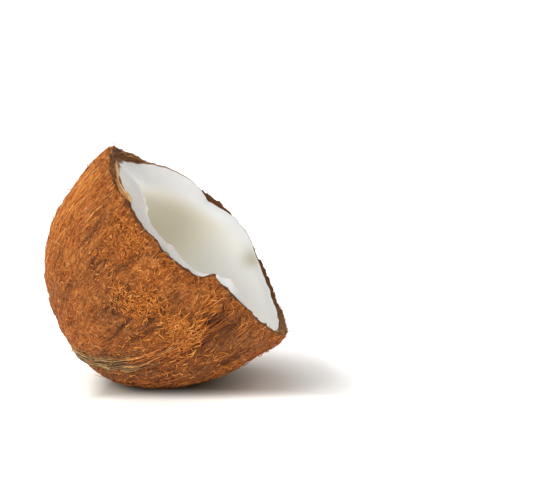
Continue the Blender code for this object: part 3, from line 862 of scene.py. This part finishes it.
def make_splinters():
    """Splinters of the hard shell along its broken edge, and one wide golden one on the high side.

    The golden one is three tubes side by side that follow the edge. Its width comes from its table.
    """
    rng = np.random.default_rng(131)
    count = 130
    steps = 17
    middle = rng.choice([198.0, 214.0, 160.0, 355.0], count)
    start = np.radians(middle + rng.normal(0.0, 9.0, count))
    span = rng.uniform(0.04, 0.16, count)
    angle = start[:, None] + span[:, None] * np.linspace(0.0, 1.0, steps)[None, :]
    inset = rng.uniform(0.0010, 0.0030, count)[:, None] + rng.normal(0.0, 0.0002, (count, steps))
    rise = rng.uniform(-0.0003, 0.0005, count)[:, None] + 0.0003 * arch(steps)
    height = between(SHELL_EDGE_HEIGHT, np.degrees(angle)) + EDGE_RAGGEDNESS * ragged(angle) + rise
    mid_shell = END_DEPTH - SHELL_THICKNESS / 2
    outer = wall(angle, polar_at(height, mid_shell))
    points = outer - outward(outer) * inset[..., None]
    points[..., 2] = height

    ribbon = np.linspace(GOLDEN_SPLINTER[0][0], GOLDEN_SPLINTER[-1][0], steps)
    ribbon_height = between(SHELL_EDGE_HEIGHT, ribbon)
    half_width = between(GOLDEN_SPLINTER, ribbon)
    golden = wall(np.radians(ribbon), polar_at(ribbon_height, mid_shell))
    golden[:, 2] = ribbon_height + 0.0007
    sideways = outward(golden) * (0.62 * half_width)[:, None]
    golden = golden - outward(golden) * 0.0037
    placed = set_down(np.concatenate([np.stack([golden + sideways, golden, golden - sideways]), points]))

    axis_up = np.array([math.sin(TIP_FROM_UPRIGHT), 0.0, math.cos(TIP_FROM_UPRIGHT)])
    taper = np.sin(np.linspace(0.25, math.pi - 0.25, steps)) ** 0.7
    radii = rng.uniform(0.00018, 0.0005, count)[:, None] * taper[None, :]
    radii = np.concatenate([np.outer([0.42, 0.46, 0.42], half_width), radii])
    tones = np.concatenate([[0.6, 0.97, 0.84], np.clip(rng.normal(0.32, 0.2, count), 0.02, 0.8)])
    return tubes("shell_splinters", placed, np.broadcast_to(axis_up, placed.shape), radii, tones, 6, 0.6)


def colour(red, green, blue):
    """A display colour from 0 to 255 as the linear colour that a shader reads."""
    channel = [c / 255.0 for c in (red, green, blue)]
    return tuple(c / 12.92 if c <= 0.04045 else ((c + 0.055) / 1.055) ** 2.4 for c in channel) + (1.0,)


def grey(share):
    """A linear grey between black and white."""
    return (share, share, share, 1.0)


def shades(*stops):
    """Stops of a colour ramp from rows of a position and a display colour."""
    return [(position, colour(*rgb)) for position, *rgb in stops]


BLACK, WHITE = grey(0.0), grey(1.0)


class Recipe:
    """A material under construction: its methods add nodes and return the output to go on with."""

    def __init__(self, name):
        self.material = bpy.data.materials.new(name)
        self.material.use_nodes = True
        self.tree = self.material.node_tree
        self.surface = self.tree.nodes["Principled BSDF"]

    def add(self, kind, **settings):
        node = self.tree.nodes.new(kind)
        for key, value in settings.items():
            setattr(node, key, value)
        return node

    def put(self, socket, value):
        if hasattr(value, "is_output"):
            self.tree.links.new(value, socket)
        else:
            socket.default_value = value

    def value_of(self, name):
        return self.add("ShaderNodeAttribute", attribute_name=name).outputs["Fac"]

    def places(self):
        return self.add("ShaderNodeTexCoord").outputs["Object"]

    def map_places(self, stretch=(1.0, 1.0, 1.0)):
        node = self.add("ShaderNodeMapping")
        node.inputs["Scale"].default_value = stretch
        self.put(node.inputs["Vector"], self.add("ShaderNodeUVMap", uv_map="OFBake").outputs["UV"])
        return node.outputs["Vector"]

    def noise(self, places, scale, detail=3.0, roughness=0.55, distortion=0.0):
        node = self.add("ShaderNodeTexNoise")
        keys = ("Vector", "Scale", "Detail", "Roughness", "Distortion")
        for key, value in zip(keys, (places, scale, detail, roughness, distortion)):
            self.put(node.inputs[key], value)
        return node.outputs["Fac"]

    def maths(self, operation, first, second):
        node = self.add("ShaderNodeMath", operation=operation)
        self.put(node.inputs[0], first)
        self.put(node.inputs[1], second)
        return node.outputs[0]

    def vectors(self, operation, first, second=(0.0, 0.0, 0.0)):
        """Arithmetic on vectors; a length or a dot product comes back as a number."""
        node = self.add("ShaderNodeVectorMath", operation=operation)
        self.put(node.inputs[0], first)
        self.put(node.inputs[1], second)
        return node.outputs["Value" if operation in ("LENGTH", "DOT_PRODUCT") else "Vector"]

    def sum_of(self, *terms):
        total = 0.0
        for term, weight in terms:
            node = self.add("ShaderNodeMath", operation="MULTIPLY_ADD")
            for socket, value in zip(node.inputs, (term, weight, total)):
                self.put(socket, value)
            total = node.outputs[0]
        return total

    def ramp(self, factor, *stops):
        node = self.add("ShaderNodeValToRGB")
        elements = node.color_ramp.elements
        while len(elements) < len(stops):
            elements.new(0.5)
        for element, (position, tint) in zip(elements, stops):
            element.position = position
            element.color = tint
        self.put(node.inputs["Fac"], factor)
        return node.outputs["Color"]

    def mixed(self, factor, first, second, blend="MIX"):
        node = self.add("ShaderNodeMix", data_type="RGBA", blend_type=blend)
        for socket, value in zip((node.inputs["Factor"], *node.inputs[6:8]), (factor, first, second)):
            self.put(socket, value)
        return node.outputs[2]

    def threads(self, places, scale, distortion):
        """Curly thread lines: how far a smooth noise is from its middle value, 0 on a line."""
        field = self.noise(places, scale, 1.0, 0.5, distortion)
        return self.maths("ABSOLUTE", self.maths("SUBTRACT", field, 0.5), 0.0)

    def painted_pit_shade(self, tint, strength):
        """Darkens a colour with painted shade in small scattered pits, the same ones in the coat and in its
        strands.
        """
        places = self.places()
        # painted shade: dark brown in the pits
        pit_shade = self.ramp(self.noise(places, 620.0, 2.0, 0.6, 0.6), (0.36, WHITE), (0.46, BLACK))
        return self.mixed(self.maths("MULTIPLY", pit_shade, strength), tint, colour(58, 23, 7))

    def finish(self, tint, roughness, specular, height=None, distance=0.001, strength=1.0):
        self.put(self.surface.inputs["Base Color"], tint)
        self.put(self.surface.inputs["Roughness"], roughness)
        self.surface.inputs["Specular IOR Level"].default_value = specular
        if height is not None:
            node = self.add("ShaderNodeBump")
            node.inputs["Distance"].default_value = distance
            node.inputs["Strength"].default_value = strength
            self.put(node.inputs["Height"], height)
            self.put(self.surface.inputs["Normal"], node.outputs["Normal"])
        return self.material


def husk_material():
    """Matted fibre in warm and dull zones, with bands of coarse fibre, and the broken shell edge.

    The fibre's tone is a weighted sum of painted shade from the relief, streaks, grains, specks and clouds,
    and its warmth has painted light on the high side. Thread lines with a painted shadow along their sides,
    painted shade in small pits and the dark marks with painted shade in the creases are laid over it, and
    the edge has a wood colour of its own.
    """
    recipe = Recipe("husk_matted_fibre")
    places = recipe.places()
    streaks = recipe.noise(recipe.map_places((320.0, 17.0, 1.0)), 1.0, 4.0, 0.65, 0.5)
    grains = recipe.noise(places, 1100.0, 4.0, 0.75)
    specks = recipe.noise(places, 2300.0, 2.0, 0.7)
    clouds = recipe.noise(places, 70.0, 3.0, 0.6)
    # painted shade from the relief, one part of the fibre's tone
    painted_shade_and_grain = recipe.value_of("painted_shade_and_grain")
    tone = recipe.sum_of((painted_shade_and_grain, 0.24), (streaks, 0.34), (grains, 0.44), (specks, 0.22), (clouds, 0.12))
    warm = shades((0.48, 72, 33, 12), (0.60, 152, 78, 27), (0.71, 207, 118, 45), (0.84, 242, 168, 88))
    dull = shades((0.48, 50, 27, 15), (0.60, 118, 66, 30), (0.71, 170, 106, 54), (0.86, 218, 158, 98))
    # dull to warm by the warmth, which has painted light on the high side
    coat = recipe.mixed(recipe.value_of("warm"), recipe.ramp(tone, *dull), recipe.ramp(tone, *warm))

    curls = recipe.threads(places, 430.0, 1.6)
    fine_curls = recipe.ramp(recipe.threads(places, 900.0, 1.2), (0.0, WHITE), (0.03, BLACK))
    # painted shadow: dark brown along both sides of the curly thread lines, near the rim
    painted_thread_shadow = recipe.ramp(curls, (0.0, BLACK), (0.035, BLACK), (0.055, WHITE), (0.10, BLACK))
    by_rim = recipe.maths("MULTIPLY", painted_thread_shadow, recipe.value_of("curly"))
    coat = recipe.mixed(by_rim, coat, colour(66, 30, 14))
    coat = recipe.mixed(recipe.maths("MULTIPLY", fine_curls, 0.35), coat, colour(84, 42, 18))
    coarse = recipe.ramp(
        recipe.sum_of((recipe.value_of("stripe"), 0.75), (tone, 0.5)),
        *shades((0.50, 38, 24, 12), (0.82, 128, 94, 54), (1.02, 194, 160, 106)),
    )
    # painted shade in small pits of the plain coat, then the coarse bands over it
    coat = recipe.mixed(recipe.value_of("band"), recipe.painted_pit_shade(coat, 0.5), coarse)
    # dark marks, with painted shade in the creases
    coat = recipe.mixed(recipe.maths("MULTIPLY", recipe.value_of("marks_and_crease_shade"), 0.85), coat, colour(56, 22, 6))

    grain = recipe.noise(places, 1500.0, 3.0, 0.6)
    hard = recipe.ramp(grain, *shades((0.3, 82, 44, 21), (0.7, 146, 88, 46)))
    wood = recipe.ramp(grain, *shades((0.3, 140, 88, 42), (0.7, 220, 168, 100)))
    broken = recipe.mixed(recipe.value_of("pale_wood"), hard, wood)
    on_edge = recipe.ramp(recipe.value_of("layer"), (0.5, BLACK), (0.62, WHITE))
    raised = recipe.ramp(curls, (0.0, WHITE), (0.07, BLACK))
    height = recipe.sum_of((raised, 0.35), (streaks, 0.35), (grains, 0.7), (specks, 0.3))
    return recipe.finish(recipe.mixed(on_edge, coat, broken), 0.85, 0.2, height, 0.0012)


def strand_material(name, *stops):
    """Fibre strands: the tone stored along u picks the colour, and the roots are darker than the rest,
    painted shade where they meet the coat.
    """
    recipe = Recipe(name)
    split = recipe.add("ShaderNodeSeparateXYZ")
    recipe.put(split.inputs[0], recipe.map_places())
    mottle = recipe.noise(recipe.places(), 700.0, 2.0)
    tint = recipe.ramp(recipe.sum_of((split.outputs[0], 1.0), (mottle, 0.3), (1.0, -0.15)), *shades(*stops))
    # painted shade: darker towards the root, where the strand meets the coat
    root = recipe.ramp(split.outputs[1], (0.0, colour(150, 132, 120)), (0.22, WHITE))
    return recipe.finish(recipe.painted_pit_shade(recipe.mixed(1.0, tint, root, "MULTIPLY"), 0.35), 0.62, 0.3)


def flesh_material():
    """Moist white flesh: a bright broken face with painted shade on some facets, and a hollow with painted
    beige shadow on its sheltered side.

    The brown skin by which it grew on the shell is rough. The rest has a soft gloss and a little
    light under its surface.
    """
    recipe = Recipe("coconut_white_flesh")
    places = recipe.places()
    clouds = recipe.noise(places, 38.0, 3.0, 0.5)
    grain = recipe.noise(places, 420.0, 4.0, 0.6)
    face = recipe.ramp(clouds, *shades((0.3, 232, 231, 229), (0.7, 245, 245, 243)))
    # painted shade on some facets of the face
    face = recipe.mixed(recipe.value_of("painted_facet_shade"), face, colour(208, 203, 196))
    # painted shade in the hollow: beige deeper down and on the sheltered side
    lining_with_painted_shade = recipe.ramp(
        recipe.sum_of((recipe.value_of("depth"), 0.12), (recipe.value_of("painted_hollow_shadow"), 0.74)),
        *shades((0.05, 245, 244, 239), (0.40, 234, 229, 212), (0.90, 204, 195, 168)),
    )
    inside = recipe.ramp(recipe.value_of("inwards"), (0.7, BLACK), (1.0, WHITE))
    body = recipe.mixed(inside, face, lining_with_painted_shade)
    # painted shade: grey-beige in the dent
    painted_dent_shade = recipe.maths("MULTIPLY", recipe.value_of("dented"), 0.8)
    body = recipe.mixed(painted_dent_shade, body, colour(190, 184, 158))
    skin = recipe.value_of("skin")
    whole = recipe.mixed(skin, body, recipe.mixed(grain, colour(84, 48, 24), colour(150, 98, 54)))
    recipe.surface.inputs["Subsurface Weight"].default_value = 0.35
    recipe.surface.inputs["Subsurface Radius"].default_value = (1.0, 0.9, 0.75)
    recipe.surface.inputs["Subsurface Scale"].default_value = 0.003
    roughness = recipe.ramp(skin, (0.0, grey(0.42)), (1.0, grey(0.95)))
    return recipe.finish(whole, roughness, 0.35, recipe.sum_of((grain, 0.5), (clouds, 0.5)), 0.0003, 0.35)


def dress():
    """Makes every piece, gives it its material and ties it to the frame."""
    coat = make_coat()
    coat.data.materials.append(husk_material())
    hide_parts("coconut_shell")
    flesh = make_flesh()
    flesh.data.materials.append(flesh_material())
    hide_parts("coconut_flesh")

    brown = strand_material(
        "fibre_brown", (0.0, 66, 28, 9), (0.4, 158, 82, 28), (0.7, 214, 128, 51), (1.0, 248, 192, 118)
    )
    golden = strand_material(
        "fibre_golden", (0.0, 110, 52, 16), (0.5, 206, 120, 44), (0.8, 230, 149, 64), (1.0, 244, 186, 108)
    )
    greyish = strand_material("fibre_greyish", (0.0, 46, 30, 16), (0.5, 142, 106, 60), (1.0, 212, 176, 118))
    pale = strand_material(
        "shell_splinters", (0.0, 70, 40, 20), (0.45, 136, 88, 46), (0.75, 208, 152, 88), (1.0, 240, 194, 128)
    )
    dressed = [(piece, brown) for piece in make_matting()]
    dressed += [
        (make_long_strands(), brown),
        (make_tufts(), golden),
        (sheaf("ridge_strands", 101, 330, (4.0, 42.0), (12.0, 28.0), 0.58), greyish),
        (sheaf("ridge_tops", 102, 230, (42.0, 76.0), (10.0, 22.0), 0.55), brown),
        (make_stray_hairs(), golden),
        (make_fringe(), brown),
        (make_splinters(), pale),
    ]
    for piece, material in dressed:
        piece.data.materials.append(material)
    for piece in [coat, flesh] + [piece for piece, _ in dressed]:
        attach(piece, "root")


def make_floor():
    """A wide pale sheet under the half, faintly mottled, with a painted shadow round the contact.

    It glows by itself where the photo's floor is blown out to white: beyond a long oval round the half,
    nearer on the side towards the photo's camera and on the left. These are places on the floor, so the
    glow stays where it is in every view, and the half's shadow falls between.
    """
    mesh = bpy.data.meshes.new("floor")
    signs = ((-1, -1), (1, -1), (1, 1), (-1, 1))
    mesh.from_pydata([(x * FLOOR_REACH, y * FLOOR_REACH, 0.0) for x, y in signs], [], [(0, 1, 2, 3)])
    floor = bpy.data.objects.new("floor", mesh)
    bpy.context.scene.collection.objects.link(floor)
    recipe = Recipe("floor_white")
    places = recipe.places()
    mottle = recipe.noise(places, 3.0, 2.0)
    tint = recipe.ramp(mottle, (0.3, (0.93, 0.93, 0.925, 1.0)), (0.7, (0.95, 0.95, 0.945, 1.0)))
    # painted contact shadow: darker and warmer near the origin, where the half rests
    painted_contact_shadow = shades((0.02, 160, 152, 130), (0.045, 246, 243, 234), (0.1, 255, 255, 255))
    painted_contact_shadow = recipe.ramp(recipe.vectors("LENGTH", places), *painted_contact_shadow)
    recipe.finish(recipe.mixed(1.0, tint, painted_contact_shadow, "MULTIPLY"), 0.6, 0.2)

    from_middle = recipe.vectors("SUBTRACT", places, (0.022, 0.0, 0.0))
    distance = recipe.vectors("LENGTH", recipe.vectors("MULTIPLY", from_middle, (1.0, 1.5, 1.0)))
    glow = recipe.ramp(distance, (0.034, BLACK), (0.06, grey(0.3)), (0.085, grey(0.8)), (0.11, WHITE))
    sine, cosine = math.sin(CAMERA_TURN), math.cos(CAMERA_TURN)
    for direction, stops in (
        ((sine, -cosine, 0.0), ((0.017, BLACK), (0.024, grey(0.3)), (0.032, WHITE))),
        ((-cosine, -sine, 0.0), ((0.020, BLACK), (0.032, WHITE))),
    ):
        beyond = recipe.ramp(recipe.vectors("DOT_PRODUCT", places, direction), *stops)
        glow = recipe.maths("MAXIMUM", glow, beyond)
    recipe.surface.inputs["Emission Color"].default_value = WHITE
    recipe.put(recipe.surface.inputs["Emission Strength"], recipe.maths("MULTIPLY", glow, 0.6))
    mesh.materials.append(recipe.material)


def light_and_camera():
    """A white room, a soft square key light from the upper left in front, and the photo's camera."""
    scene = bpy.context.scene
    world = bpy.data.worlds.new("studio")
    world.use_nodes = True
    background = world.node_tree.nodes["Background"]
    background.inputs["Color"].default_value = WHITE
    background.inputs["Strength"].default_value = ROOM_LIGHT
    scene.world = world
    scene.view_settings.view_transform = "Standard"

    light = bpy.data.lights.new("key", "AREA")
    light.size = KEY_LIGHT_SIZE
    light.energy = KEY_LIGHT_POWER
    light.color = (1.0, 0.98, 0.95)
    lamp = bpy.data.objects.new("key", light)
    scene.collection.objects.link(lamp)
    lamp.location = KEY_LIGHT_PLACE
    x, y, z = np.array(KEY_LIGHT_PLACE) - np.array(KEY_LIGHT_AIM)
    lamp.rotation_euler = (math.atan2(math.hypot(x, y), z), 0.0, math.atan2(x, -y))

    rim_centre = np.array([-DROP[0], 0.0, -DROP[1]])
    turn, rise = CAMERA_TURN, CAMERA_RISE
    back = np.array([math.sin(turn) * math.cos(rise), -math.cos(turn) * math.cos(rise), math.sin(rise)])
    right = np.array([math.cos(turn), math.sin(turn), 0.0])
    up = np.cross(back, right)
    camera = bpy.data.objects.new("camera", bpy.data.cameras.new("camera"))
    scene.collection.objects.link(camera)
    camera.data.lens = CAMERA_LENS
    camera.location = rim_centre + right * AIM_RIGHT + up * AIM_UP + back * CAMERA_DISTANCE
    camera.rotation_euler = (math.pi / 2 - rise, 0.0, turn)
    scene.camera = camera


dress()
make_floor()
light_and_camera()
